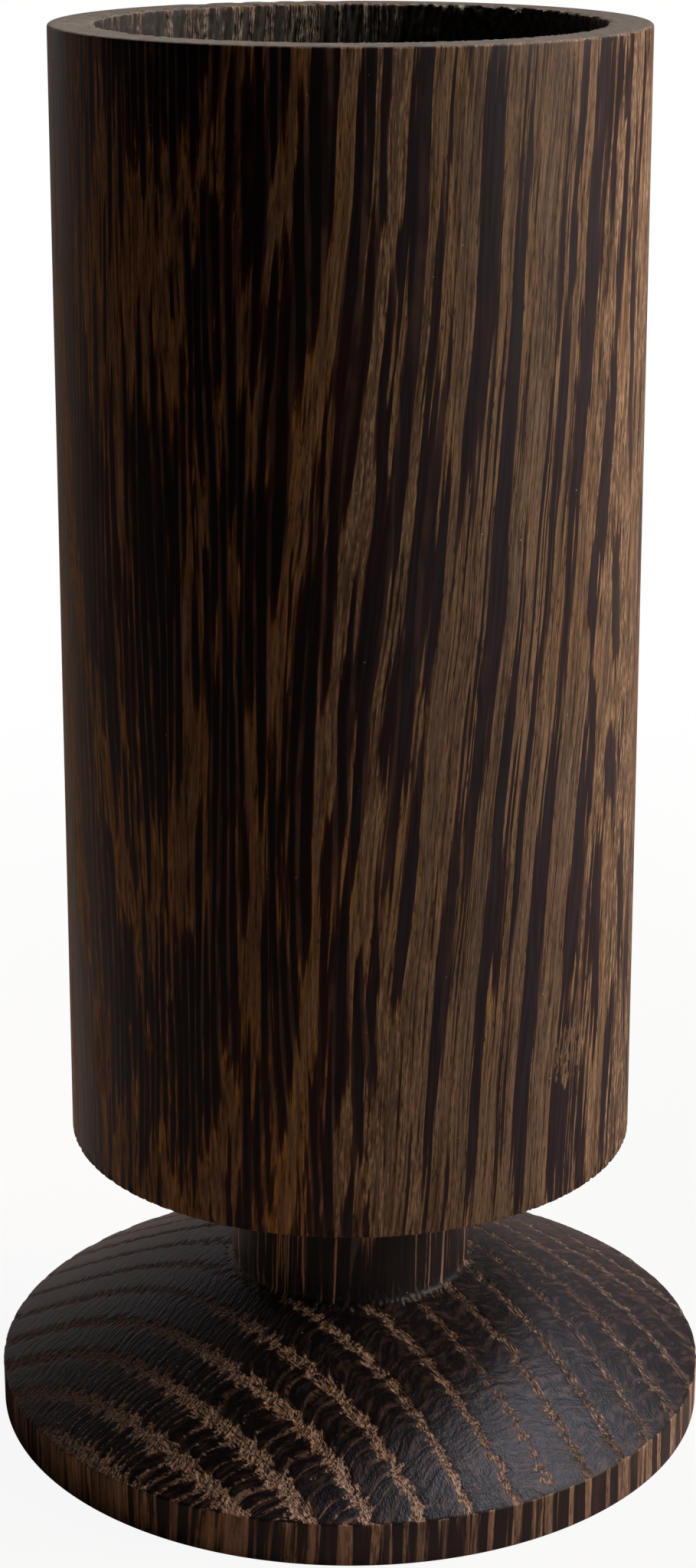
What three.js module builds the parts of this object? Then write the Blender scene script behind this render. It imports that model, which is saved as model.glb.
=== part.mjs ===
// A turned wooden vase: a tall plain cup that stands on a domed foot with a slim neck.
// Both pieces are turned from dark, coarse-grained hardwood with the fibres running upright.
// The foot's spigot is glued into a blind mortise under the cup.
// Millimetres, +Z up. The origin is the middle of the face that the foot stands on.

import * as THREE from 'three';

// The cup
const mouthRadius = 47.5; // outside, at the mouth
const heelRadius = 48.6; // outside, at the underside: the drum widens a little downwards
const cupHeight = 187;
const wallAtMouth = 7.2;
const floorAboveSpigot = 6.7; // wood between the end of the joint and the bottom of the well
const mouthRound = 0.5;
const boreLipRound = 0.5;
const heelRound = 0.4;
const wellRound = 6; // where the well's wall runs into its floor

// The foot
const footRadius = 62.1;
const bandHeight = 7.7; // the upright edge under the dome
const domeRise = 17.8; // from the edge band to the bottom of the neck
const domeCrown = 1.0; // how far the dome swells above a straight cone
const shoulderRound = 0.7; // the crisp corner between dome and edge band
const standingEdgeRound = 0.5;
const neckRadius = 20.9;
const neckLength = 26.5;
const neckFillet = 1.6;
const standingRingWidth = 13;
const recessDepth = 1.6; // the underside is hollowed a little, so that the foot stands on a ring

// The glued joint between them
const spigotLength = 10;
const neckShoulderWidth = 7.9; // the flat ring round the spigot, on which the cup sits
const spigotBevel = 1;
const glueGap = 0.3;

// How finely the round shapes are divided
const turns = 96;
const roundSteps = 3;
const domeSteps = 8;
const recessSteps = 5;

const spigotRadius = neckRadius - neckShoulderWidth;
const seatHeight = bandHeight + domeRise + neckLength;

/** A point of a turned outline: its distance from the axis, its height and the radius that rounds it. */
function corner(radius, height, round = 0) {
  return { at: new THREE.Vector2(radius, height), round };
}

/** The outline with each rounded corner replaced by an arc that touches both of its straight sides. */
function rounded(corners) {
  const outline = [];
  corners.forEach(({ at, round }, i) => {
    if (round === 0) {
      outline.push(at);
      return;
    }
    const back = corners[i - 1].at.clone().sub(at).normalize();
    const ahead = corners[i + 1].at.clone().sub(at).normalize();
    const half = Math.acos(THREE.MathUtils.clamp(back.dot(ahead), -1, 1)) / 2;
    const middle = back.clone().add(ahead).normalize();
    const centre = at.clone().addScaledVector(middle, round / Math.sin(half));
    const start = at.clone().addScaledVector(back, round / Math.tan(half)).sub(centre);
    const sweep = Math.PI - 2 * half;
    const turn = Math.sign(back.cross(ahead));
    for (let step = 0; step <= roundSteps; step++) {
      const angle = -turn * sweep * step / roundSteps;
      outline.push(start.clone().rotateAround(new THREE.Vector2(), angle).add(centre));
    }
  });
  return outline;
}

/** Points between two ends along a circular arc that stands proud of the chord by the given height. */
function crowned(from, to, proud, steps) {
  const chord = to.clone().sub(from);
  const side = new THREE.Vector2(-chord.y, chord.x).normalize();
  const halfChord = chord.length() / 2;
  const radius = (halfChord ** 2 + proud ** 2) / (2 * proud);
  const centre = from.clone().add(to).multiplyScalar(0.5).addScaledVector(side, proud - radius);
  const halfAngle = Math.asin(halfChord / radius);
  const points = [];
  for (let step = 1; step < steps; step++) {
    const angle = halfAngle * (1 - 2 * step / steps);
    points.push(side.clone().multiplyScalar(radius).rotateAround(new THREE.Vector2(), angle).add(centre));
  }
  return points.map((point) => corner(point.x, point.y));
}

/** A solid turned about the upright axis from an outline that starts and ends on that axis. */
function turned(corners, name, material) {
  const geometry = new THREE.LatheGeometry(rounded(corners), turns);
  geometry.rotateX(Math.PI / 2);
  const mesh = new THREE.Mesh(geometry, material);
  mesh.name = name;
  return mesh;
}

/** The cup: a plain drum, hollowed from the mouth, with a blind mortise in the middle of its underside. */
function makeCup() {
  const boreRadius = mouthRadius - wallAtMouth;
  const mortiseRadius = spigotRadius + glueGap;
  const mortiseDepth = spigotLength + glueGap;
  const wellFloor = mortiseDepth + floorAboveSpigot;
  const outline = [
    corner(0, mortiseDepth),
    corner(mortiseRadius, mortiseDepth),
    corner(mortiseRadius, 0),
    corner(heelRadius, 0, heelRound),
    corner(mouthRadius, cupHeight, mouthRound),
    corner(boreRadius, cupHeight, boreLipRound),
    corner(boreRadius, wellFloor, wellRound),
    corner(0, wellFloor),
  ];
  const wood = new THREE.MeshStandardMaterial({ color: '#4b3728', roughness: 0.6, metalness: 0 });
  const cup = turned(outline, 'cup', wood);
  cup.position.z = seatHeight;
  return cup;
}

/** The foot: a low dome on an upright edge band, with its neck and the spigot above the neck's shoulder. */
function makeFoot() {
  const domeEdge = new THREE.Vector2(footRadius, bandHeight);
  const domeTop = new THREE.Vector2(neckRadius, bandHeight + domeRise);
  const ringInside = new THREE.Vector2(footRadius - standingRingWidth, 0);
  const recessTop = new THREE.Vector2(0, recessDepth);
  const spigotTop = seatHeight + spigotLength;
  const outline = [
    corner(recessTop.x, recessTop.y),
    ...crowned(recessTop, ringInside, recessDepth / 4, recessSteps),
    corner(ringInside.x, ringInside.y),
    corner(footRadius, 0, standingEdgeRound),
    corner(domeEdge.x, domeEdge.y, shoulderRound),
    ...crowned(domeTop, domeEdge, domeCrown, domeSteps).reverse(),
    corner(domeTop.x, domeTop.y, neckFillet),
    corner(neckRadius, seatHeight),
    corner(spigotRadius, seatHeight),
    corner(spigotRadius, spigotTop - spigotBevel),
    corner(spigotRadius - spigotBevel, spigotTop),
    corner(0, spigotTop),
  ];
  const wood = new THREE.MeshStandardMaterial({ color: '#3a2d26', roughness: 0.5, metalness: 0 });
  return turned(outline, 'foot', wood);
}

const vase = new THREE.Group();
vase.name = 'vase';
vase.add(makeFoot(), makeCup());

export default vase;
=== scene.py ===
import functools
import math

import bpy
import numpy as np
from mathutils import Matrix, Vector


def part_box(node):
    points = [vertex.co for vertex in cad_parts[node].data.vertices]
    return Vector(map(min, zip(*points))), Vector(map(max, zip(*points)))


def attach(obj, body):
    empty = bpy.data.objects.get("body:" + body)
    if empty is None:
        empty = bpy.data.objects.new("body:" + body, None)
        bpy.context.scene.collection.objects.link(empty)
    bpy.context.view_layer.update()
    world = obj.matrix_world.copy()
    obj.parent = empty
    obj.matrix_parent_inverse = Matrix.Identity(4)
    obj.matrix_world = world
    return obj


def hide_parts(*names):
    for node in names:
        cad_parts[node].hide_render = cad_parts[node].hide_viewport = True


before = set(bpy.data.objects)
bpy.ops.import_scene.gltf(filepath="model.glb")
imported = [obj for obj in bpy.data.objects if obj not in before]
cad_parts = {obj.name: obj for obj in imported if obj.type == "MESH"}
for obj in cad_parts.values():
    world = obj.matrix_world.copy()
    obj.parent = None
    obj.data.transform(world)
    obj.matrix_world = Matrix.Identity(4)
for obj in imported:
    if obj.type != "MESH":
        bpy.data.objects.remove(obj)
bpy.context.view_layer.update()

# The foot
# One piece of dark, coarse hardwood, turned between centres: a low dome on an upright edge band, a slim
# neck, and the spigot that is glued into the cup. The fibres stand upright, so the dome shows end
# grain: open-pored bands of the year rings, crossed by rays that part the dark wood into pillows.

MM = 0.001
FOOT_LOW, FOOT_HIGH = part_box("foot")
CUP_LOW, CUP_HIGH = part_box("cup")
FOOT_RADIUS = FOOT_HIGH[0]
SEAT_HEIGHT = CUP_LOW[2]
SPIGOT_TOP = FOOT_HIGH[2]
EDGE_BAND_HEIGHT = 7.7 * MM
DOME_TOP = 25.5 * MM
DOME_CROWN = 1.0 * MM
DOME_CORNER_ROUND = 0.7 * MM
STANDING_EDGE_ROUND = 0.5 * MM
NECK_RADIUS = 20.9 * MM
NECK_FILLET = 1.6 * MM
SPIGOT_RADIUS = 13.0 * MM
SPIGOT_BEVEL = 1.0 * MM
STANDING_RING_WIDTH = 13.0 * MM
RECESS_DEPTH = 1.6 * MM
FOOT_COLUMNS = 640
ROUND_STEPS = 5


def turned_outline(corners):
    """Profile of a turned piece as arrays of (radius, height) and of region names. Each corner is
    (radius, height, rounding radius, step to the next corner, region): a rounded corner becomes the arc
    that touches both of its straight sides, and each straight stretch is divided at its step."""
    at = np.array([corner[:2] for corner in corners])
    ends = []
    for i, (*_, rounding, _, _) in enumerate(corners):
        if rounding == 0:
            ends.append(at[i:i + 1])
            continue
        back, ahead = at[i - 1] - at[i], at[i + 1] - at[i]
        back, ahead = back / np.hypot(*back), ahead / np.hypot(*ahead)
        half = math.acos(np.clip(back @ ahead, -1, 1)) / 2
        centre = at[i] + (back + ahead) / np.hypot(*(back + ahead)) * rounding / math.sin(half)
        start = at[i] + back * rounding / math.tan(half) - centre
        turn = -np.sign(back[0] * ahead[1] - back[1] * ahead[0])
        angle = turn * (math.pi - 2 * half) * np.linspace(0, 1, ROUND_STEPS + 1)
        cos, sin = np.cos(angle), np.sin(angle)
        arc = np.stack([start[0] * cos - start[1] * sin, start[0] * sin + start[1] * cos], 1)
        ends.append(centre + arc)
    points, regions = [], []
    for i, (*_, step, region) in enumerate(corners):
        points.append(ends[i])
        if i + 1 < len(corners):
            reach = ends[i + 1][0] - ends[i][-1]
            count = max(1, round(np.hypot(*reach) / step))
            points.append(ends[i][-1] + np.linspace(0, 1, count + 1)[1:-1, None] * reach)
        regions += [region] * (sum(map(len, points)) - len(regions))
    return np.concatenate(points), np.array(regions)


def crowned(start, end, proud, step):
    """Points between two ends on a circular arc that stands proud of the chord by a given height: its
    radius is (chord squared / 4 + height squared) / (2 height)."""
    start, end = np.array(start), np.array(end)
    chord = end - start
    length = np.hypot(*chord)
    side = np.array([chord[1], -chord[0]]) / length
    radius = (length ** 2 / 4 + proud ** 2) / (2 * proud)
    centre = (start + end) / 2 + side * (proud - radius)
    swing = math.asin(length / 2 / radius) * np.linspace(-1, 1, round(length / step) + 1)[1:-1, None]
    return centre + radius * (side * np.cos(swing) + chord / length * np.sin(swing))


def turned_points(outline, relief):
    """Surface of revolution: the point at profile step s and angle a lies at radius(s) and height(s),
    moved along the profile's normal by relief(s, a), and is then turned by a about the upright axis."""
    along = np.gradient(outline, axis=0)
    normal = np.stack([along[:, 1], -along[:, 0]], 1)
    normal /= np.hypot(normal[:, 0], normal[:, 1])[:, None]
    angle = np.arange(relief.shape[1]) * 2 * math.pi / relief.shape[1]
    radius = outline[:, 0, None] + normal[:, 0, None] * relief
    height = outline[:, 1, None] + normal[:, 1, None] * relief
    return np.stack([radius * np.sin(angle), -radius * np.cos(angle), height], 2)


def turned_mesh(name, points, grain, bare_and_painted_shade):
    """Skins a grid of points, profile step by angle, whose first and last rows lie on the axis and
    close there, and stores each point's place in the grain and how far it is without oil, which on
    the cup's rim also carries painted shade."""
    rows, columns = points.shape[0] - 2, points.shape[1]
    corners = np.concatenate([points[1:-1].reshape(-1, 3), points[0, :1], points[-1, :1]])
    here = np.arange(rows * columns).reshape(rows, columns)
    beside = np.roll(here, -1, axis=1)
    quads = np.stack([here[:-1], beside[:-1], beside[1:], here[1:]], 2).reshape(-1, 4)
    low_pole, high_pole = rows * columns, rows * columns + 1
    low_fan = np.stack([beside[0], here[0], np.full(columns, low_pole)], 1)
    high_fan = np.stack([here[-1], beside[-1], np.full(columns, high_pole)], 1)
    mesh = bpy.data.meshes.new(name)
    mesh.from_pydata(corners, [], quads.tolist() + low_fan.tolist() + high_fan.tolist())
    mesh.polygons.foreach_set("use_smooth", np.ones(len(mesh.polygons), bool))
    for label, kind, field, value in (
        ("grain", "FLOAT_VECTOR", "vector", grain),
        ("bare_and_painted_shade", "FLOAT", "value", bare_and_painted_shade),
    ):
        values = np.concatenate([value[1:-1].ravel(), value[[0, -1], 0].ravel()]).astype(np.float32)
        mesh.attributes.new(label, kind, "POINT").data.foreach_set(field, values)
    mesh.update()
    piece = bpy.data.objects.new(name, mesh)
    bpy.context.collection.objects.link(piece)
    return piece


# The tree's heart lay in front of the vase and to its left, so its rings cross both pieces as arcs.
# A leaf is the wood between two rays: it is LEAF millimetres wide at LEAF_RING from the heart.
HEART = np.array([-127.0, -133.0])
HEART_SIDE = math.atan2(-HEART[1], -HEART[0])
LEAF_RING = 136.0
LEAF = 1.55
WIDE_LEAVES_FROM = -5


def grain_at(places, lean, wide_leaves=1.0):
    """Where points in millimetres lie in the tree: millimetres across the rings (distance from the
    heart, less the stem's lean times the height), leaves of wood between rays (angle about the heart
    times the root of the distance, so that leaves widen slowly outwards, and at the front right wider
    by a factor), and millimetres along the stem. Slow waves bend the first two."""
    x, y, z = np.moveaxis(places, -1, 0)
    out, side = x - HEART[0], y - HEART[1]
    far = np.hypot(out, side)
    across = far - lean * z + 1.0 * np.sin(x / 19 + z / 47) * np.cos(y / 23 - z / 61)
    across += (0.6 * np.sin((x - y) / 12 + z / 27) + 0.12 * np.sin(z / 7.5 + x / 9 + 1)
               + 0.07 * np.sin(z / 3.6 - y / 7))
    leaf = (np.arctan2(side, out) - HEART_SIDE) * np.sqrt(far * LEAF_RING) / LEAF
    widened = leaf / wide_leaves + WIDE_LEAVES_FROM * (1 - 1 / wide_leaves)
    leaf = np.where(leaf < WIDE_LEAVES_FROM, widened, leaf)
    leaf += 0.5 * np.sin(x / 9 + y / 13 + z / 43) + 0.35 * np.sin(x / 17 - y / 7 - z / 31 + 2)
    leaf += 0.22 * np.sin(x / 1.9 + y / 2.3 + z / 24) + 0.16 * np.sin(x / 2.4 - y / 1.7 - z / 17)
    return np.stack([across, leaf, z], -1)


def wave_table(seed, count, *spans):
    """Rows of (wave vector, phase, weight) whose cosines add up to smooth noise of unit strength. Each
    direction's wavelength is drawn between its two limits."""
    draw = np.random.default_rng(seed)
    lengths = np.stack([np.exp(draw.uniform(np.log(a), np.log(b), count)) for a, b in spans], 1)
    waves = 2 * math.pi / lengths * draw.choice([-1, 1], lengths.shape)
    phases = draw.uniform(0, 2 * math.pi, (count, 1))
    return np.concatenate([waves, phases, np.full((count, 1), math.sqrt(2 / count))], 1)


def wave_sum(places, table):
    """Sum over the table of weight times cos(wave vector . place + phase)."""
    return sum(weight * np.cos(places @ wave + phase) for *wave, phase, weight in table)


# Wavelengths across the rings, across the leaves and along the stem
layers = wave_table(5, 8, (2.6, 12.0), (25, 120), (110, 500))
jogs = wave_table(8, 3, (10, 30), (1.3, 2.9), (60, 160))

# Shares of the ring's cosine and of its double, and where across the tree the wood's look changes
RING_CREST, RING_SWELL = 0.65, 0.35
OLD_WOOD = 166
YOUNG_WOOD = OLD_WOOD - 45


def ring_wave(across, look):
    """A narrow crest at each year ring, with a low swell halfway between, and wider crests in the young
    rings next to the heart: a cosine, its double, and a slope that ends at old wood."""
    turn = 2 * math.pi * (across - look["ring_start"]) / look["ring_step"]
    youth = np.clip((OLD_WOOD - across) / (OLD_WOOD - YOUNG_WOOD), 0, 1)
    return RING_CREST * np.cos(turn) + RING_SWELL * np.cos(2 * turn) + look["youth"] * youth


def openness(grain, look):
    """How open and pale the wood is: the ring wave, the waves of the layers, and a dip in the middle of
    each leaf, added up. The ring pattern jumps a little from leaf to leaf."""
    leaf = np.floor(grain[..., 1])
    in_leaf = np.abs(grain[..., 1] - leaf - 0.5)
    jump = look["jog"] * wave_sum(np.stack([grain[..., 0], leaf, grain[..., 2]], -1), jogs)
    across = grain[..., 0] + jump
    layer = wave_sum(np.stack([across, grain[..., 1], grain[..., 2]], -1), layers)
    lens = np.interp(across, (YOUNG_WOOD, OLD_WOOD), look["lens"][::-1]) * (in_leaf - 0.25)
    return look["ring"] * ring_wave(across, look) + look["layer"] * layer + lens


def smooth_step(values, low, high):
    """0 below low, 1 above high and a smooth curve between."""
    part = np.clip((values - low) / (high - low), 0, 1)
    return part * part * (3 - 2 * part)


# The look of one piece's wood. Places are millimetres across the rings. A name with "side" in it is for
# side grain, and its twin for end grain.
foot_look = {
    # Year rings: millimetres from ring to ring, where they start and end, and how strongly they show
    "ring_step": 8.0, "ring_start": 3.4, "ring": 1.0, "ring_side": 0.6, "ring_ends": (300, 310),
    # Crests of the young rings, jumps between leaves, thin layers, and dips in a leaf, old and young
    "youth": 0.75, "jog": 0.35, "layer": 0.16, "layer_side": 0.5, "lens": (0.9, 1.9), "lens_side": 2.0,
    "plates": [],
    # Streaks: weight, then width across the rings, along them and up the stem in millimetres
    "broad": (1.6, 2.6, 4.0, 110), "narrow": (2.4, 1.2, 2.0, 50),
    # Thin lines edge on and flat, bundles of fibre and their size, frayed edges, crumbled end grain
    "line": (3.4, 2.8), "shred": 0.9, "shred_size": (1.2, 0.85, 34), "fray": 0.7, "crumbly": 0.9,
    # Level above which the wood is brown (near the heart, in the middle, far out) and how soft it is
    "edge": (0.38, 0.45, 0.42), "edge_side": (0.16, 0.0, -0.35), "edge_soft": (0.3, 0.55),
    "neck_darker": 0.65, "neck_lines": 2.1,
    # Brown wood: colours from a plate inwards, veins, and lightness (from where to where, from, to)
    "pale": [(0.0, "#705240"), (0.5, "#7d614e"), (1.0, "#6a5444")], "line_dark": "#2a1510",
    "end_tone": (135, 200, 1.5, 0.24), "side_tone": (140, 185, 0.8, 1.05),
    # Flat-sawn faces, on the shaded left, get browns painted lighter and richer; flecks painted as
    # glints
    "flat_painted_lighter": 1.9, "flat_painted_richer": 1.06, "flat_calm": 1.0, "fleck": "#b8937a", "painted_glint": 0.5,
    # Dark plates: along the fibre's streaks, where flat (painted blacker, as shade) or end on, and next
    # to the brown
    "dark": [(0.35, "#1a1213"), (0.65, "#241a1b")], "black_and_painted_shade": "#080304", "maroon": "#2c150e",
    # Rays: colour, width as a share of a leaf, and fading (from where to where, from)
    "thread": "#80614f", "thread_width": 0.16, "thread_strength": 1.0, "thread_fade": (166, 138, 0.1),
    "thread_least": 0.2, "side_threads": 0.6, "rusty": 0.16,
    # Fine relief in millimetres, how much of it the dark plates show, and gloss
    "grit": 0.34, "scale": 0.9, "smooth": 0.24, "gloss": 0.24, "rough_dark": 0.45, "rough_pale": 0.7,
}
FOOT_LEAN = 0.02
FRONT_LEAVES = 1.7
BAND_DEPTH = 0.07 * MM
PILLOW_HEIGHT = 0.05 * MM
TORN_FILLET = 0.09 * MM

ring_inside = FOOT_RADIUS - STANDING_RING_WIDTH
recess = crowned((ring_inside, 0), (0, RECESS_DEPTH), RECESS_DEPTH / 4, 3 * MM)[::-1]
dome = crowned((FOOT_RADIUS, EDGE_BAND_HEIGHT), (NECK_RADIUS, DOME_TOP), DOME_CROWN, 0.45 * MM)
foot_outline, foot_region = turned_outline([
    (0, RECESS_DEPTH, 0, 4 * MM, "under"),
    *[(r, z, 0, 4 * MM, "under") for r, z in recess],
    (ring_inside, 0, 0, 3 * MM, "under"),
    (FOOT_RADIUS, 0, STANDING_EDGE_ROUND, 0.9 * MM, "band"),
    (FOOT_RADIUS, EDGE_BAND_HEIGHT, DOME_CORNER_ROUND, 1 * MM, "dome"),
    *[(r, z, 0, 1 * MM, "dome") for r, z in dome[2:-3]],
    (NECK_RADIUS, DOME_TOP, NECK_FILLET, 0.6 * MM, "fillet"),
    (NECK_RADIUS, DOME_TOP + 3 * MM, 0, 3 * MM, "neck"),
    (NECK_RADIUS, SEAT_HEIGHT, 0, 4 * MM, "joint"),
    (SPIGOT_RADIUS, SEAT_HEIGHT, 0, 4 * MM, "joint"),
    (SPIGOT_RADIUS, SPIGOT_TOP - SPIGOT_BEVEL, 0, 2 * MM, "joint"),
    (SPIGOT_RADIUS - SPIGOT_BEVEL, SPIGOT_TOP, 0, 4 * MM, "joint"),
    (0, SPIGOT_TOP, 0, 4 * MM, "joint"),
])
smooth_foot = turned_points(foot_outline, np.zeros((len(foot_outline), FOOT_COLUMNS)))
grain = grain_at(smooth_foot / MM, FOOT_LEAN, FRONT_LEAVES)
# On the dome the pale bands are sunk, and each leaf of dark wood stands up in a parabola across it
brown_from = foot_look["edge"][0]
sunk = smooth_step(openness(grain, foot_look), brown_from - 0.1, brown_from + 0.5)
pillow = 1 - 4 * (grain[..., 1] % 1 - 0.5) ** 2
on_dome = (foot_region == "dome")[:, None]
foot_relief = on_dome * (PILLOW_HEIGHT * pillow * (1 - sunk) - BAND_DEPTH * sunk)
# The tool tore the fillet at the neck's base, where its crumbs are bare of oil
torn = wave_sum(grain, wave_table(33, 30, (0.8, 3), (0.8, 3), (0.7, 2.5)))
on_fillet = (foot_region == "fillet")[:, None]
foot_relief -= on_fillet * TORN_FILLET * np.clip(torn + 0.3, 0, 2)
crumbs = 0.7 * on_fillet * smooth_step(torn, 1.4, 1.7)
foot = turned_mesh("turned_foot", turned_points(foot_outline, foot_relief), grain, crumbs)


def linear(colour):
    """An sRGB hex colour as the linear values that a shader takes."""
    parts = np.array([int(colour[i:i + 2], 16) / 255 for i in (1, 3, 5)])
    return (*np.where(parts <= 0.04045, parts / 12.92, ((parts + 0.055) / 1.055) ** 2.4).tolist(), 1.0)


def add(tree, kind, inputs=(), out=0, stops=(), **settings):
    """Adds a node with its settings and colour stops, feeds each input a value or a socket, and returns
    the output socket that is asked for."""
    node = tree.nodes.new("ShaderNode" + kind)
    for key, value in settings.items():
        setattr(node, key, value)
    for key, value in inputs.items() if isinstance(inputs, dict) else enumerate(inputs):
        if isinstance(value, bpy.types.NodeSocket):
            tree.links.new(value, node.inputs[key])
        else:
            node.inputs[key].default_value = value
    for i, (place, colour) in enumerate(stops):
        stop = node.color_ramp.elements[i] if i < 2 else node.color_ramp.elements.new(place)
        stop.position = place
        stop.color = linear(colour)
    return node.outputs[out] if node.outputs else node


# Ranges in which the material's look changes: how far a face looks up the stem before it is end grain,
# how far it lies along the rings before it is flat-sawn, and millimetres across the tree or up the stem
END_GRAIN = (0.4, 0.8)
FLAT_SAWN = (0.3, 0.85)
FLAT_UNTIL = (165, 192)
NEAR_HEART = (140, 153)
FAR_OUT = (200, 212)
NECK_FROM = (12, 24)
PLATES_LEAN = 0.1


def striped_hardwood(name, look):
    """Dark hardwood such as wenge, turned, sanded and oiled: plates of nearly black fibre that shine
    softly, duller layers of brown open-pored tissue between them, and rays as pale threads. The same
    openness that shapes the dome's relief chooses between brown and black here. Heights of the fine
    relief are in millimetres. Where the wood has no oil, sanding dust makes it paler and greyer, and its
    side grain in the bore is painted darker as shade. On flat-sawn faces, which lie on the shaded left,
    the browns are painted lighter and richer and the darks blacker, as painted light and shade, and pale
    flecks are painted on as glints."""
    wood = bpy.data.materials.new(name)
    wood.use_nodes = True
    tree = wood.node_tree
    tree.nodes.clear()
    wire = functools.partial(add, tree)
    times = {"operation": "MULTIPLY"}
    times_plus = {"operation": "MULTIPLY_ADD"}
    smooth = {"interpolation_type": "SMOOTHSTEP"}
    tinted = {"data_type": "RGBA", "out": 2}
    grain = wire("Attribute", out="Vector", attribute_name="grain")
    bare_and_painted_shade = wire("Attribute", out="Fac", attribute_name="bare_and_painted_shade")
    across, leaf_place, up_stem = (wire("SeparateXYZ", (grain,), out=i) for i in range(3))

    def waves(vector, table):
        """The shader's twin of wave_sum: the sum of weight times cos(wave vector . place + phase)."""
        total = 0.0
        for *wave, phase, weight in table.tolist():
            angle = wire("VectorMath", (vector, wave), out="Value", operation="DOT_PRODUCT")
            swing = wire("Math", (wire("Math", (angle, phase), operation="ADD"),), operation="COSINE")
            total = wire("Math", (swing, weight, total), **times_plus)
        return total

    def streaks(across, beside, along, detail=1.0):
        """Noise from -0.5 to 0.5, mostly within 0.25 of nought, whose patches are so many millimetres
        wide across the rings, along them and up the stem."""
        place = wire("VectorMath", (grain, (1 / across, LEAF / beside, 1 / along)), **times)
        noise = wire("TexNoise", {"Vector": place, "Scale": 1.0, "Detail": detail, "Roughness": 0.55})
        return wire("Math", (noise, 0.5), operation="SUBTRACT")

    # How the cut face lies: end grain looks up the stem, and a flat-sawn face looks at the heart, so
    # that it shows the ends of the rays
    normal = wire("TexCoord", out="Normal")
    place = wire("TexCoord", out="Object")
    heart = wire("VectorMath", (place, (*(HEART * MM), 0)), operation="SUBTRACT")
    heart = wire("VectorMath", (heart, (1, 1, 0)), **times)
    heart = wire("VectorMath", (heart,), operation="NORMALIZE")
    sideways = wire("VectorMath", (normal, heart), operation="CROSS_PRODUCT")
    sideways = wire("Math", (wire("SeparateXYZ", (sideways,), out=2), 2.0), operation="POWER")
    up_face = wire("Math", (wire("SeparateXYZ", (normal,), out=2),), operation="ABSOLUTE")
    end_grain = wire("MapRange", (up_face, *END_GRAIN), **smooth)
    side_grain = wire("Math", (1.0, end_grain), operation="SUBTRACT")
    rays_seen = wire("Math", (1.0, sideways), operation="SUBTRACT", use_clamp=True)
    rays_seen = wire("Math", (rays_seen, 0.5), operation="POWER")
    rays_seen = wire("Math", (rays_seen, end_grain), operation="MAXIMUM")
    flat = wire("MapRange", (rays_seen, *FLAT_SAWN), **smooth)
    near_heart = wire("MapRange", (across, *FLAT_UNTIL, 1.0, 0.1), **smooth)
    flat = wire("Math", (wire("Math", (flat, near_heart), **times), side_grain), **times)

    # Openness: layers and rings, crossed by streaks on side grain and by the leaves between rays
    leaf = wire("Math", (leaf_place,), operation="FLOOR")
    jump = waves(wire("CombineXYZ", (across, leaf, up_stem)), jogs)
    jump = wire("Math", (jump, wire("Math", (rays_seen, look["jog"]), **times)), **times)
    across = wire("Math", (across, jump), operation="ADD")
    field = 0.0
    if look["layer"]:
        field = waves(wire("CombineXYZ", (across, leaf_place, up_stem)), layers)
        share = wire("MapRange", (end_grain, 0, 1, look["layer_side"], look["layer"]))
        field = wire("Math", (field, share), **times)
    pace = 2 * math.pi / look["ring_step"]
    turn = wire("Math", (across, pace, -pace * look["ring_start"]), **times_plus)
    ring = wire("MapRange", (across, YOUNG_WOOD, OLD_WOOD, look["youth"], 0.0))
    ring = wire("Math", (wire("Math", (turn,), operation="COSINE"), RING_CREST, ring), **times_plus)
    half_ring = wire("Math", (wire("Math", (turn, 2.0), **times),), operation="COSINE")
    ring = wire("Math", (half_ring, RING_SWELL, ring), **times_plus)
    shown = wire("MapRange", (across, *look["ring_ends"], 1.0, 0.0), **smooth)
    ring = wire("Math", (ring, shown), **times)
    share = wire("MapRange", (end_grain, 0, 1, look["ring_side"], look["ring"]))
    field = wire("Math", (ring, share, field), **times_plus)
    calm = wire("MapRange", (flat, 0, 1, 1.0, look["flat_calm"]))
    calm = wire("Math", (side_grain, calm), **times)
    for weight, *size in (look["broad"], look["narrow"]):
        share = wire("Math", (calm, weight), **times)
        field = wire("Math", (streaks(*size), share, field), **times_plus)
    in_leaf = wire("Math", (leaf_place, 0.5), operation="PINGPONG")
    lens = wire("Math", (wire("Math", (0.25, in_leaf), operation="SUBTRACT"), rays_seen), **times)
    rounder = wire("MapRange", (across, YOUNG_WOOD, OLD_WOOD, *look["lens"][::-1]))
    share = wire("Mix", {0: end_grain, 2: look["lens_side"], 3: rounder})
    field = wire("Math", (lens, share, field), **times_plus)

    # The level above which wood is brown differs near the heart, in the middle, far out and on the neck
    edges = []
    for near, middle, far in (look["edge_side"], look["edge"]):
        edge = wire("MapRange", (across, *NEAR_HEART, near, middle), **smooth)
        rise = wire("MapRange", (across, *FAR_OUT, 0, far - middle), **smooth)
        edges.append(wire("Math", (edge, rise), operation="ADD"))
    neck = wire("MapRange", (up_stem, *NECK_FROM, 0.0, look["neck_darker"]), **smooth)
    edges[0] = wire("Math", (edges[0], neck), operation="ADD")
    edge = wire("Mix", {0: end_grain, 2: edges[0], 3: edges[1]})
    edge = wire("Math", (bare_and_painted_shade, 0.4, edge), **times_plus)
    depth = wire("Math", (field, edge), operation="SUBTRACT")

    # Plates of dark fibre and a ragged knot, which keep their place through the whole blank
    if look["plates"]:
        upright = wire("CombineXYZ", (across, 0.0, up_stem))
        leaning = (upright, (1, 0, PLATES_LEAN))
        leaning = wire("VectorMath", leaning, out="Value", operation="DOT_PRODUCT")
        leaning = wire("CombineXYZ", (leaning, 0.0, up_stem))

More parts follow.
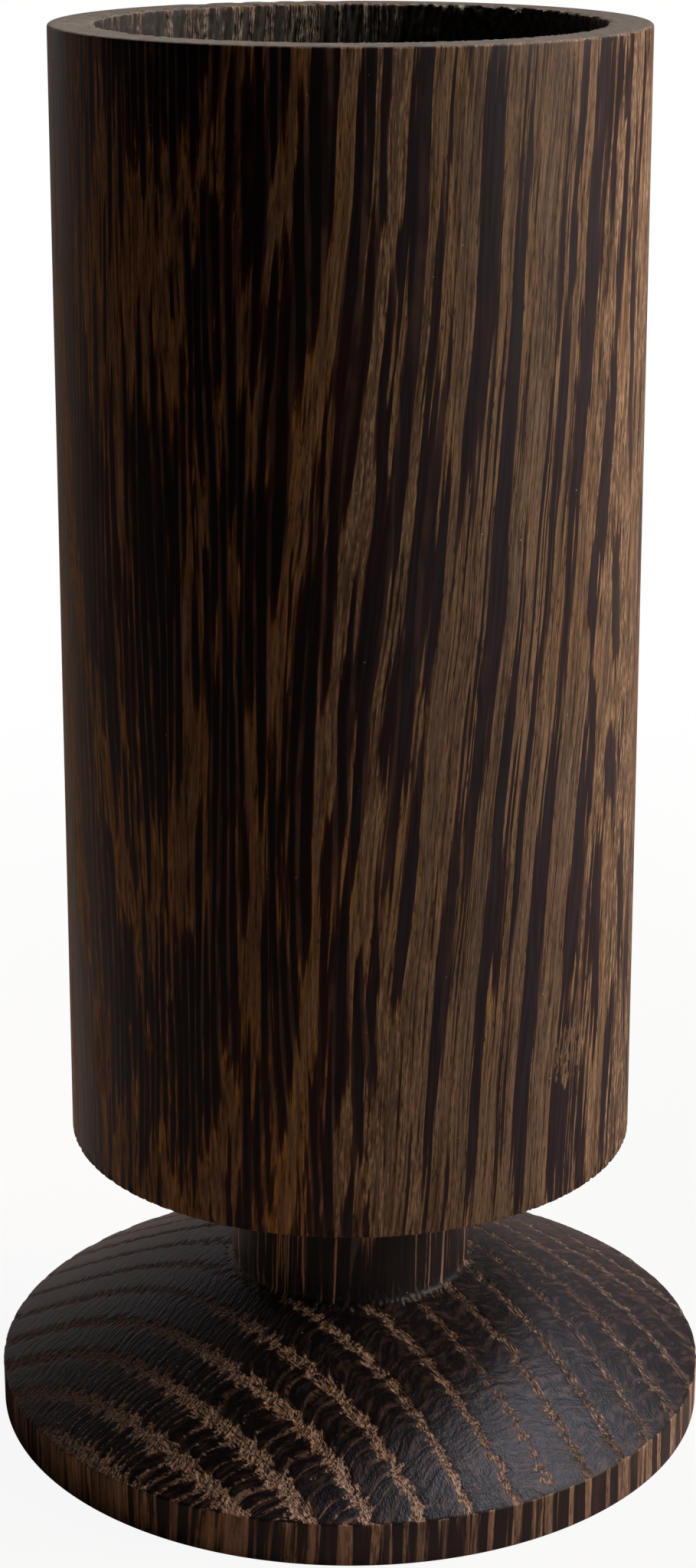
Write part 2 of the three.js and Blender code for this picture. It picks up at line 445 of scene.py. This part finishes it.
        def from_middle(blank, at_across, at_up, half_width, half_length):
            """Distance from the middle of an ellipse across and up the blank, where 1 is its edge."""
            scale = (1 / half_width, 0, 1 / half_length)
            shift = (-at_across / half_width, 0, -at_up / half_length)
            away = wire("VectorMath", (blank, scale, shift), **times_plus)
            return wire("VectorMath", (away,), out="Value", operation="LENGTH")

        nearest = 4.0
        for at_across, at_up, *halves, leans in look["plates"]:
            at_across += PLATES_LEAN * leans * at_up
            away = from_middle(leaning if leans else upright, at_across, at_up, *halves)
            nearest = wire("Math", (nearest, away), operation="MINIMUM")
        outside = wire("Math", (nearest, 1.3, -1.3), **times_plus)
        depth = wire("Math", (depth, outside), operation="MINIMUM")
        knot = wire("MapRange", (from_middle(upright, *look["knot"]), 0.3, 1.0, 1.0, 0.0), **smooth)
        ragged = wire("Math", (streaks(0.9, 0.9, 3.0, 2.0), 7.0, 0.5), **times_plus)
        depth = wire("Math", (knot, ragged, depth), **times_plus)

    # Bundles of fibres: grains on end grain, streaks along the stem, drawn thick enough to show
    shred = streaks(*look["shred_size"], 2.0)
    fibre = streaks(0.5, 0.5, 17)
    fleck = streaks(0.3, 0.3, 1.9)
    patch = streaks(7, 7, 45)
    vein = streaks(0.6, 2.6, 50)
    beads = streaks(7, 0.62, 24)
    share = wire("MapRange", (end_grain, 0, 1, 1.1, look["shred"]))
    depth = wire("Math", (shred, share, depth), **times_plus)
    fray = wire("Math", (rays_seen, look["fray"], 0.4), **times_plus)
    depth = wire("Math", (fibre, fray, depth), **times_plus)
    crumble = wire("Math", (end_grain, look["crumbly"]), **times)
    depth = wire("Math", (fleck, crumble, depth), **times_plus)
    # Thin layers show as lines where the face cuts the rings, and fine rays where it lies along them
    lines = wire("Mix", {0: rays_seen, 2: streaks(0.55, 4.0, 70), 3: beads})
    lines = wire("Math", (lines, wire("MapRange", (rays_seen, 0, 1, *look["line"]), **smooth)), **times)
    on_neck = wire("MapRange", (up_stem, *NECK_FROM, 1.0, look["neck_lines"]), **smooth)
    lines = wire("Math", (lines, on_neck), **times)
    depth = wire("Math", (lines, side_grain, depth), **times_plus)
    soft = wire("MapRange", (rays_seen, 0.3, 0.9, *look["edge_soft"]), **smooth)
    pale = wire("MapRange", (depth, 0.0, soft), **smooth)

    # Brown layers: golden next to a plate and duller inside, lighter and darker by streaks
    ramp_place = wire("Math", (patch, 1.2, wire("Math", (depth, 0.7), **times)), **times_plus)
    brown = wire("ValToRGB", (ramp_place,), stops=look["pale"])
    value = wire("Math", (shred, 1.2, 1.0), **times_plus)
    value = wire("Math", (lines, 0.3, value), **times_plus)
    share = wire("Math", (rays_seen, 2.2, 1.3), **times_plus)
    value = wire("Math", (fibre, share, value), **times_plus)
    share = wire("Math", (end_grain, 1.9, 1.0), **times_plus)
    value = wire("Math", (fleck, share, value), **times_plus)
    value = wire("Math", (value, 0.12), operation="MAXIMUM")
    side_tone = wire("MapRange", (across, *look["side_tone"]), **smooth)
    end_tone = wire("MapRange", (across, *look["end_tone"]), **smooth)
    value = wire("Math", (value, wire("Mix", {0: end_grain, 2: side_tone, 3: end_tone})), **times)
    # Flat-sawn faces lie on the shaded left: their browns are painted lighter and richer, a painted
    # light
    value = wire("Math", (value, wire("MapRange", (flat, 0, 1, 1, look["flat_painted_lighter"]))), **times)
    rich = wire("MapRange", (flat, 0, 1, 1, look["flat_painted_richer"]))
    brown = wire("HueSaturation", {"Value": value, "Color": brown, "Saturation": rich})
    # Dark veins, open pores, and on faces cut askew to the rings pale flecks of the wood, painted bright
    # as glints: painted highlights
    vein = wire("Math", (vein,), operation="ABSOLUTE")
    vein = wire("MapRange", (vein, 0.01, 0.05, 0.7, 0.0), **smooth)
    vein = wire("Math", (vein, wire("MapRange", (rays_seen, 0.35, 0.7, 1, 0), **smooth)), **times)
    brown = wire("Mix", {0: vein, 6: brown, 7: linear(look["line_dark"])}, **tinted)
    pore = wire("MapRange", (fleck, -0.22, -0.1, 0.85, 0.0), **smooth)
    inner = wire("MapRange", (depth, 0.2, 0.9, 1.0, 0.22), **smooth)
    pore = wire("Math", (pore, inner), **times)
    brown = wire("Mix", {0: pore, 6: brown, 7: linear(look["dark"][0][1])}, **tinted)
    painted_glint = wire("MapRange", (fleck, -0.04, 0.16), **smooth)
    for part in (
        wire("MapRange", (patch, -0.2, 0.02, 0.0, look["painted_glint"]), **smooth),
        wire("MapRange", (rays_seen, 0.25, 0.5, 0.1, 1.0)),
        wire("MapRange", (flat, 0.4, 1.0, 1.0, 0.15)),
        wire("MapRange", (fibre, -0.04, 0.08, 0.1, 1.0), **smooth),
    ):
        painted_glint = wire("Math", (painted_glint, part), **times)
    brown = wire("Mix", {0: painted_glint, 6: brown, 7: linear(look["fleck"])}, **tinted)

    # Dark plates: violet charcoal where edge on, nearly black where flat or end on, maroon next to the
    # brown, and on end grain rusty in thin scales. The black of flat faces, which lie on the shaded
    # left, is painted shade
    black = wire("ValToRGB", (wire("Math", (fibre, 0.5), operation="ADD"),), stops=look["dark"])
    deeper = wire("Math", (end_grain, 0.55), **times)
    deeper = wire("Math", (flat, 0.85, deeper), **times_plus)
    black = wire("Mix", {0: deeper, 6: black, 7: linear(look["black_and_painted_shade"])}, **tinted)
    warmth = wire("MapRange", (depth, -0.55, 0.0), **smooth)
    warmth = wire("Math", (warmth, wire("MapRange", (flat, 0, 1, 0.2, 0.9), **smooth)), **times)
    warmth = wire("Math", (warmth, side_grain), **times)
    black = wire("Mix", {0: warmth, 6: black, 7: linear(look["maroon"])}, **tinted)
    scales = wire("Math", (streaks(2.4, 0.5, 20, 2.0), end_grain), **times)
    rusty = wire("MapRange", (scales, -0.02, 0.2, 0.0, look["rusty"]), **smooth)
    black = wire("Mix", {0: rusty, 6: black, 7: linear(look["thread"])}, **tinted)
    colour = wire("Mix", {0: pale, 6: black, 7: brown}, **tinted)

    # Rays: beaded threads on the borders of the leaves, which fade away from the heart
    thread = wire("Math", (beads, -0.8, in_leaf), **times_plus)
    thread_ends = (0.02, look["thread_width"], look["thread_strength"], 0.0)
    thread = wire("MapRange", (thread, *thread_ends), **smooth)
    strong = wire("MapRange", (streaks(6, LEAF, 26), -0.16, 0.1, look["thread_least"], 1.0), **smooth)
    faded = wire("MapRange", (across, *look["thread_fade"], 1.0), **smooth)
    kept = wire("Math", (side_grain, look["side_threads"]), **times)
    faded = wire("Math", (faded, kept), operation="MAXIMUM")
    broken = wire("MapRange", (fibre, -0.16, 0.02), **smooth)
    broken = wire("Math", (broken, end_grain, side_grain), **times_plus)
    beaded = wire("MapRange", (streaks(4, 0.9, 6), -0.15, 0.1, 0.35, 1.0), **smooth)
    for part in (rays_seen, strong, faded, broken, beaded):
        thread = wire("Math", (thread, part), **times)
    colour = wire("Mix", {0: thread, 6: colour, 7: linear(look["thread"])}, **tinted)

    # Bare wood is dusty on end grain, and greyer with pits on side grain, with pale crumbs where torn;
    # side grain with no oil, in the bore, is also painted darker overall: painted shade
    dust = wire("Math", (end_grain, 0.58, 0.1), **times_plus)
    dust = wire("Math", (wire("Math", (shred, end_grain), **times), 1.1, dust), **times_plus)
    dust = wire("Math", (dust, wire("MapRange", (bare_and_painted_shade, 0.0, 0.4))), **times)
    bare_side = wire("Math", (side_grain, bare_and_painted_shade), **times)
    torn = streaks(0.9, 0.9, 1.5, 3.0)
    pits_and_painted_shade = wire("Math", (torn, 3.0, -0.55), **times_plus)
    pits_and_painted_shade = wire("Math", (bare_side, pits_and_painted_shade, 1.0), **times_plus)
    grey = wire("Math", (bare_side, -0.35, 1.0), **times_plus)
    colour = wire("HueSaturation", {"Value": pits_and_painted_shade, "Saturation": grey, "Color": colour})
    crumbs = wire("MapRange", (torn, 0.09, 0.2, 0.0, 0.7), **smooth)
    crumbs = wire("Math", (crumbs, wire("MapRange", (pale, 0, 1, 0.15, 1.0))), **times)
    deep_torn = wire("MapRange", (bare_and_painted_shade, 1.0, 1.8, 0.0, 0.7))
    crumbs = wire("Math", (bare_side, crumbs, deep_torn), **times_plus)
    dust = wire("Math", (dust, crumbs), operation="ADD", use_clamp=True)
    dusty = wire("Mix", {0: bare_and_painted_shade, 6: linear("#45423a"), 7: linear("#857c69")}, **tinted)
    colour = wire("Mix", {0: dust, 6: colour, 7: dusty}, **tinted)
    # Lint: a few pale specks, from points scattered 5 mm apart through the wood
    lint = wire("TexVoronoi", {"Vector": place, "Scale": 1 / (5 * MM)}, out="Distance")
    lint = wire("MapRange", (lint, 0.022, 0.03, 0.7, 0.0), **smooth)
    colour = wire("Mix", {0: lint, 6: colour, 7: linear("#a9a49a")}, **tinted)

    # Gloss, and fine relief: pores and fibres, rings left by the sandpaper, and the scales of the dome
    rough = wire("MapRange", (pale, 0, 1, look["rough_dark"], look["rough_pale"]))
    rough = wire("Math", (bare_and_painted_shade, 0.2, rough), **times_plus)
    sanding = wire("VectorMath", (place, (60, 60, 3500)), **times)
    sanding = wire("TexNoise", {"Vector": sanding, "Scale": 1.0, "Detail": 1.0})
    grit = wire("MapRange", (end_grain, 0, 1, 0.05, look["grit"]))
    grit = wire("Math", (wire("Math", (bare_and_painted_shade, side_grain), **times), 0.5, grit), **times_plus)
    relief = wire("Math", (fleck, grit), **times)
    relief = wire("Math", (fibre, wire("Math", (grit, 0.8), **times), relief), **times_plus)
    relief = wire("Math", (sanding, 0.012, relief), **times_plus)
    relief = wire("Math", (scales, look["scale"], relief), **times_plus)
    strength = wire("MapRange", (pale, 0, 1, look["smooth"], 1.0))
    bump = wire("Bump", {"Height": relief, "Strength": strength, "Distance": MM})
    shader = wire("BsdfPrincipled", {"Base Color": colour, "Roughness": rough, "IOR": 1.48,
                                    "Specular IOR Level": look["gloss"], "Normal": bump})
    wire("OutputMaterial", (shader,))
    return wood


foot.data.materials.append(striped_hardwood("Oiled wenge, end grain on the dome", foot_look))
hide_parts("foot")
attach(foot, "root")

# The cup
# A plain drum turned from the same dark hardwood, hollowed from the mouth with a hook tool that tore
# the wall's grain a little, and bored underneath for the foot's spigot. Its side shows the plates of
# dark fibre edge on at the right and flat at the left.

MOUTH_HEIGHT = CUP_HIGH[2]
HEEL_RADIUS = CUP_HIGH[0]
MOUTH_RADIUS = 47.5 * MM
BORE_RADIUS = 40.3 * MM
WELL_FLOOR = SEAT_HEIGHT + 17.0 * MM
WELL_ROUND = 6.0 * MM
MORTISE_RADIUS = 13.3 * MM
MORTISE_TOP = SEAT_HEIGHT + 10.3 * MM
MOUTH_ROUND = 0.5 * MM
LIP_ROUND = 0.5 * MM
HEEL_ROUND = 0.4 * MM
CUP_COLUMNS = 640
CUP_LEAN = 0.085
RAGGED_HEEL = 0.14 * MM
TORN_BORE = 0.16 * MM
TORN_LIP = 0.4 * MM

cup_look = {
    "ring_step": 6.4, "ring_start": 4.3, "ring": 1.0, "ring_side": 1.0, "ring_ends": (146, 158),
    "youth": 0.0, "jog": 0.7, "layer": 0.0, "lens": (0.9, 0.9), "lens_side": 1.2,
    # Plates: across the rings, up, half width, half length in millimetres, and whether the plate leans
    "plates": [
        (175.0, 96, 1.5, 42, 0), (160.6, 169, 1.2, 62, 0), (175.8, 200, 1.6, 46, 0),
        (165.5, 104, 0.9, 60, 0), (154.8, 206, 1.8, 38, 0), (183.4, 103, 1.6, 26, 0),
        (158.1, 99, 0.9, 46, 0), (183.0, 174, 1.4, 17, 0), (183.2, 66, 1.7, 14, 0),
        (198.0, 70, 1.2, 17, 0), (183.5, 215, 0.8, 26, 0), (151.2, 113, 1.0, 22, 0),
        (189.4, 188, 1.0, 20, 1), (190.5, 96, 1.2, 18, 1), (189.2, 151, 1.5, 11, 1),
        (190.6, 124, 1.6, 7, 1), (150.8, 158, 0.8, 20, 0), (199.4, 100, 0.8, 16, 1),
        (182.2, 153, 1.1, 9, 1), (184.3, 131, 1.0, 10, 1), (170.0, 122, 0.6, 30, 0),
        (146.8, 84, 1.2, 20, 0), (208.0, 150, 1.3, 50, 0), (203.5, 205, 1.1, 24, 0),
    ],
    # A ragged knot near the heel: across the rings, up, half width and half length in millimetres
    "knot": (185.0, 77.5, 5.5, 7.0),
    "broad": (3.4, 3.6, 6.5, 85), "narrow": (2.4, 1.5, 3.4, 42), "line": (3.0, 2.4),
    "shred": 1.1, "shred_size": (1.3, 1.4, 26), "fray": 0.9, "crumbly": 0.0,
    "edge": (-0.1, -0.6, -0.5), "edge_side": (0.05, -0.7, -0.5), "edge_soft": (0.32, 0.6),
    "neck_darker": 0.0, "neck_lines": 1.0,
    "pale": [(0.0, "#77593d"), (0.4, "#68503c"), (1.0, "#584639")], "line_dark": "#2c140d",
    "end_tone": (192, 218, 1.0, 0.9), "side_tone": (188, 214, 1.18, 0.66),
    # Flat-sawn faces, on the shaded left, get browns painted lighter and richer; flecks painted as
    # glints
    "flat_painted_lighter": 1.8, "flat_painted_richer": 1.28, "flat_calm": 0.7, "fleck": "#b08d6c", "painted_glint": 0.85,
    # Flat-sawn faces, on the shaded left, get their darks painted blacker: painted shade
    "dark": [(0.35, "#241c1e"), (0.65, "#30272a")], "black_and_painted_shade": "#120405", "maroon": "#38160a",
    "thread": "#7c5b49", "thread_width": 0.24, "thread_strength": 0.85, "thread_fade": (170, 146, 0.2),
    "thread_least": 0.4, "side_threads": 0.0, "rusty": 0.0,
    "grit": 0.05, "scale": 0.0, "smooth": 0.15, "gloss": 0.16, "rough_dark": 0.47, "rough_pale": 0.62,
}
cup_outline, cup_region = turned_outline([
    (0, MORTISE_TOP, 0, 4 * MM, "joint"),
    (MORTISE_RADIUS, MORTISE_TOP, 0, 4 * MM, "joint"),
    (MORTISE_RADIUS, SEAT_HEIGHT, 0, 6 * MM, "joint"),
    (HEEL_RADIUS - 1.5 * MM, SEAT_HEIGHT, 0, 1 * MM, "heel"),
    (HEEL_RADIUS, SEAT_HEIGHT, HEEL_ROUND, 0.6 * MM, "heel"),
    (HEEL_RADIUS - 0.01 * MM, SEAT_HEIGHT + 2 * MM, 0, 3.6 * MM, "wall"),
    (MOUTH_RADIUS, MOUTH_HEIGHT, MOUTH_ROUND, 0.7 * MM, "rim"),
    (BORE_RADIUS, MOUTH_HEIGHT, LIP_ROUND, 0.8 * MM, "lip"),
    (BORE_RADIUS, MOUTH_HEIGHT - 9 * MM, 0, 1.6 * MM, "bore"),
    (BORE_RADIUS, MOUTH_HEIGHT - 26 * MM, 0, 5 * MM, "deep bore"),
    (BORE_RADIUS, WELL_FLOOR, WELL_ROUND, 4 * MM, "well"),
    (0, WELL_FLOOR, 0, 4 * MM, "well"),
])
smooth_cup = turned_points(cup_outline, np.zeros((len(cup_outline), CUP_COLUMNS)))
grain = grain_at(smooth_cup / MM, CUP_LEAN)
turn = np.arange(CUP_COLUMNS) * 2 * math.pi / CUP_COLUMNS
torn = wave_sum(grain, wave_table(21, 24, (0.9, 5), (1.5, 8), (12, 70)))
ragged = wave_sum(grain, wave_table(22, 24, (1.0, 3), (0.8, 2.5), (1.5, 9)))
inside = np.isin(cup_region, ["lip", "bore", "deep bore"])[:, None]
cup_relief = -TORN_BORE * np.clip(torn + 0.2, 0, 2) * inside
# The tool tore the lip most where it cut against the fibres, at the back on the right: a bell curve
# round the mouth, whose middle and width are these angles, and which dies away down the bore
TORN_AT, TORN_SPREAD = math.radians(142), 0.42
TORN_DOWN = 2.5 * MM
against_fibres = np.exp(-((turn - TORN_AT) / TORN_SPREAD) ** 2)
near_lip = (cup_region == "lip") * np.exp((cup_outline[:, 1] - MOUTH_HEIGHT) / TORN_DOWN)
cup_relief -= TORN_LIP * np.clip(ragged, -0.3, 2) * near_lip[:, None] * (0.15 + against_fibres)
cup_relief -= RAGGED_HEEL * np.clip(ragged - 0.1, 0, 1.5) * (cup_region == "heel")[:, None]
# Chips in the mouth's outer edge: angle from the front in degrees, half width and depth in millimetres
chips = [(213, 1.3, 0.5), (204, 0.8, 0.3), (197, 1.0, 0.35), (191, 0.8, 0.4), (184, 1.6, 0.25)]
rim_edge = (cup_region == "rim") * np.exp(-((cup_outline[:, 0] - MOUTH_RADIUS) / (1.0 * MM)) ** 2)
for angle, half_width, chip_depth in chips:
    off = (turn - math.radians(angle)) * MOUTH_RADIUS / (half_width * MM)
    cup_relief -= chip_depth * MM * np.exp(-off ** 2) * rim_edge[:, None]
# Wood that no oil has reached: the bore, the well and the top of the rim
on_rim = cup_outline[:, 1] > MOUTH_HEIGHT - 0.12 * MM
unoiled_and_painted_shade = (inside[:, 0] | (cup_region == "well") | on_rim).astype(float)[:, None]
# Painted shade on the rim: it keeps less of its pale dust, and so looks darker, least at the left and
# most at the back. The share of dust that is left, by degrees from the front
degrees = (0, 90, 150, 180, 220, 280, 360)
rim_dust_share_and_painted_shade = np.interp(np.degrees(turn), degrees, (0.7, 0.42, 0.32, 0.26, 0.32, 0.95, 0.7))
near_mouth = (cup_outline[:, 1] > MOUTH_HEIGHT - 1 * MM)[:, None]
unoiled_and_painted_shade = unoiled_and_painted_shade * np.where(near_mouth, rim_dust_share_and_painted_shade, 1)
unoiled_and_painted_shade += 2.0 * near_lip[:, None] * against_fibres * (ragged > 0.3)
cup = turned_mesh("turned_cup", turned_points(cup_outline, cup_relief), grain, unoiled_and_painted_shade)
cup.data.materials.append(striped_hardwood("Oiled wenge, side grain", cup_look))
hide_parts("cup")
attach(cup, "root")

# The stage
# A pale seamless floor, shown white to the camera, that keeps a soft shadow of the vase. Four soft lamps
# stand for a window at the right, the ceiling, and two pale walls behind.

FLOOR_REACH = 12.0
SHADOW_REACH = 0.45
WARM_SPOT = (-0.16, 0.03, 0)
floor_mesh = bpy.data.meshes.new("floor")
floor_corners = [(x * FLOOR_REACH, y * FLOOR_REACH, 0) for x, y in ((-1, -1), (1, -1), (1, 1), (-1, 1))]
floor_mesh.from_pydata(floor_corners, [], [(0, 1, 2, 3)])
floor = bpy.data.objects.new("floor", floor_mesh)
bpy.context.collection.objects.link(floor)
# The card's colour only tints the light that it throws back: warm at its left and behind it, and grey
# in front of the vase and at its right, a painted shade
pale_card = bpy.data.materials.new("Pale card by a window, grey where the room is in shade")
pale_card.use_nodes = True
tree = pale_card.node_tree
tree.nodes.clear()
place = add(tree, "TexCoord", out="Object")
away = add(tree, "VectorMath", (place,), out="Value", operation="LENGTH")
beside = add(tree, "VectorMath", (place, WARM_SPOT), out="Value", operation="DISTANCE")
beside = add(tree, "MapRange", (beside, 0.1, 0.34, 1.0, 0.0))
behind = add(tree, "MapRange", (add(tree, "SeparateXYZ", (place,), out=1), 0.1, 0.35))
tinted = {"data_type": "RGBA", "out": 2}
paper_and_painted_shade = add(tree, "Mix", {0: beside, 6: linear("#56504a"), 7: linear("#dcc6b2")}, **tinted)
paper_and_painted_shade = add(tree, "Mix", {0: behind, 6: paper_and_painted_shade, 7: linear("#dab89a")}, **tinted)
card = add(tree, "BsdfDiffuse", {"Color": paper_and_painted_shade})
glow = add(tree, "Emission", {"Color": (1, 1, 1, 1), "Strength": 1.0})
seen = add(tree, "LightPath", out="Is Camera Ray")
white = add(tree, "MapRange", (away, 0.1, SHADOW_REACH, 0.92, 1.0))
both = add(tree, "MixShader", (add(tree, "Math", (seen, white), operation="MULTIPLY"), card, glow))
add(tree, "OutputMaterial", (both,))
floor_mesh.materials.append(pale_card)

world = bpy.data.worlds.new("studio")
bpy.context.scene.world = world
world.use_nodes = True
tree = world.node_tree
tree.nodes.clear()
seen = add(tree, "LightPath", out="Is Camera Ray")
room = add(tree, "Background", {"Color": linear("#d6d0ca"), "Strength": 0.006})
white = add(tree, "Background", {"Color": (1, 1, 1, 1), "Strength": 1.0})
both = add(tree, "MixShader", (seen, room, white))
add(tree, "OutputWorld", (both,))


def softbox(name, place, aim, size, power, colour):
    """A rectangular area lamp at a place, turned to face a point."""
    lamp = bpy.data.lights.new(name, "AREA")
    lamp.shape = "RECTANGLE"
    lamp.size, lamp.size_y = size
    lamp.energy = power
    lamp.color = linear(colour)[:3]
    holder = bpy.data.objects.new(name, lamp)
    bpy.context.collection.objects.link(holder)
    holder.location = place
    ahead = np.array(aim) - np.array(place)
    tilt = math.pi / 2 - math.atan2(-ahead[2], math.hypot(ahead[0], ahead[1]))
    holder.rotation_euler = (tilt, 0, math.atan2(-ahead[0], ahead[1]))


softbox("window", (1.1, -0.2, 0.62), (0, 0, 0.12), (0.7, 0.7), 14.5, "#fff8f0")
softbox("ceiling", (0.58, 0.3, 1.15), (0, 0, 0.05), (0.5, 0.5), 16, "#e6e6f6")
softbox("far wall", (0.1, 1.6, 0.55), (0, 0, 0.2), (2.0, 0.6), 2.0, "#f4f4ff")
softbox("side wall", (-1.0, 1.25, 0.4), (0, 0, 0.15), (1.2, 0.9), 1.75, "#f2e4e2")

# The camera
# Hand-held close to the vase, a little above its mouth and tilted down. The lens is worked out from the
# focal length in pixels of the picture's long side.

LONG_SIDE = 2047
FOCAL_PIXELS = 4005
LOOKS_DOWN = math.radians(18.16)
TURNS_LEFT = 3 / FOCAL_PIXELS
camera = bpy.data.cameras.new("camera")
camera.sensor_width = 36.0
camera.lens = camera.sensor_width * FOCAL_PIXELS / LONG_SIDE
viewer = bpy.data.objects.new("camera", camera)
bpy.context.collection.objects.link(viewer)
viewer.location = (0, -494.6 * MM, 275.3 * MM)
viewer.rotation_euler = (math.pi / 2 - LOOKS_DOWN, 0, TURNS_LEFT)
bpy.context.scene.camera = viewer
bpy.context.scene.view_settings.view_transform = "Standard"
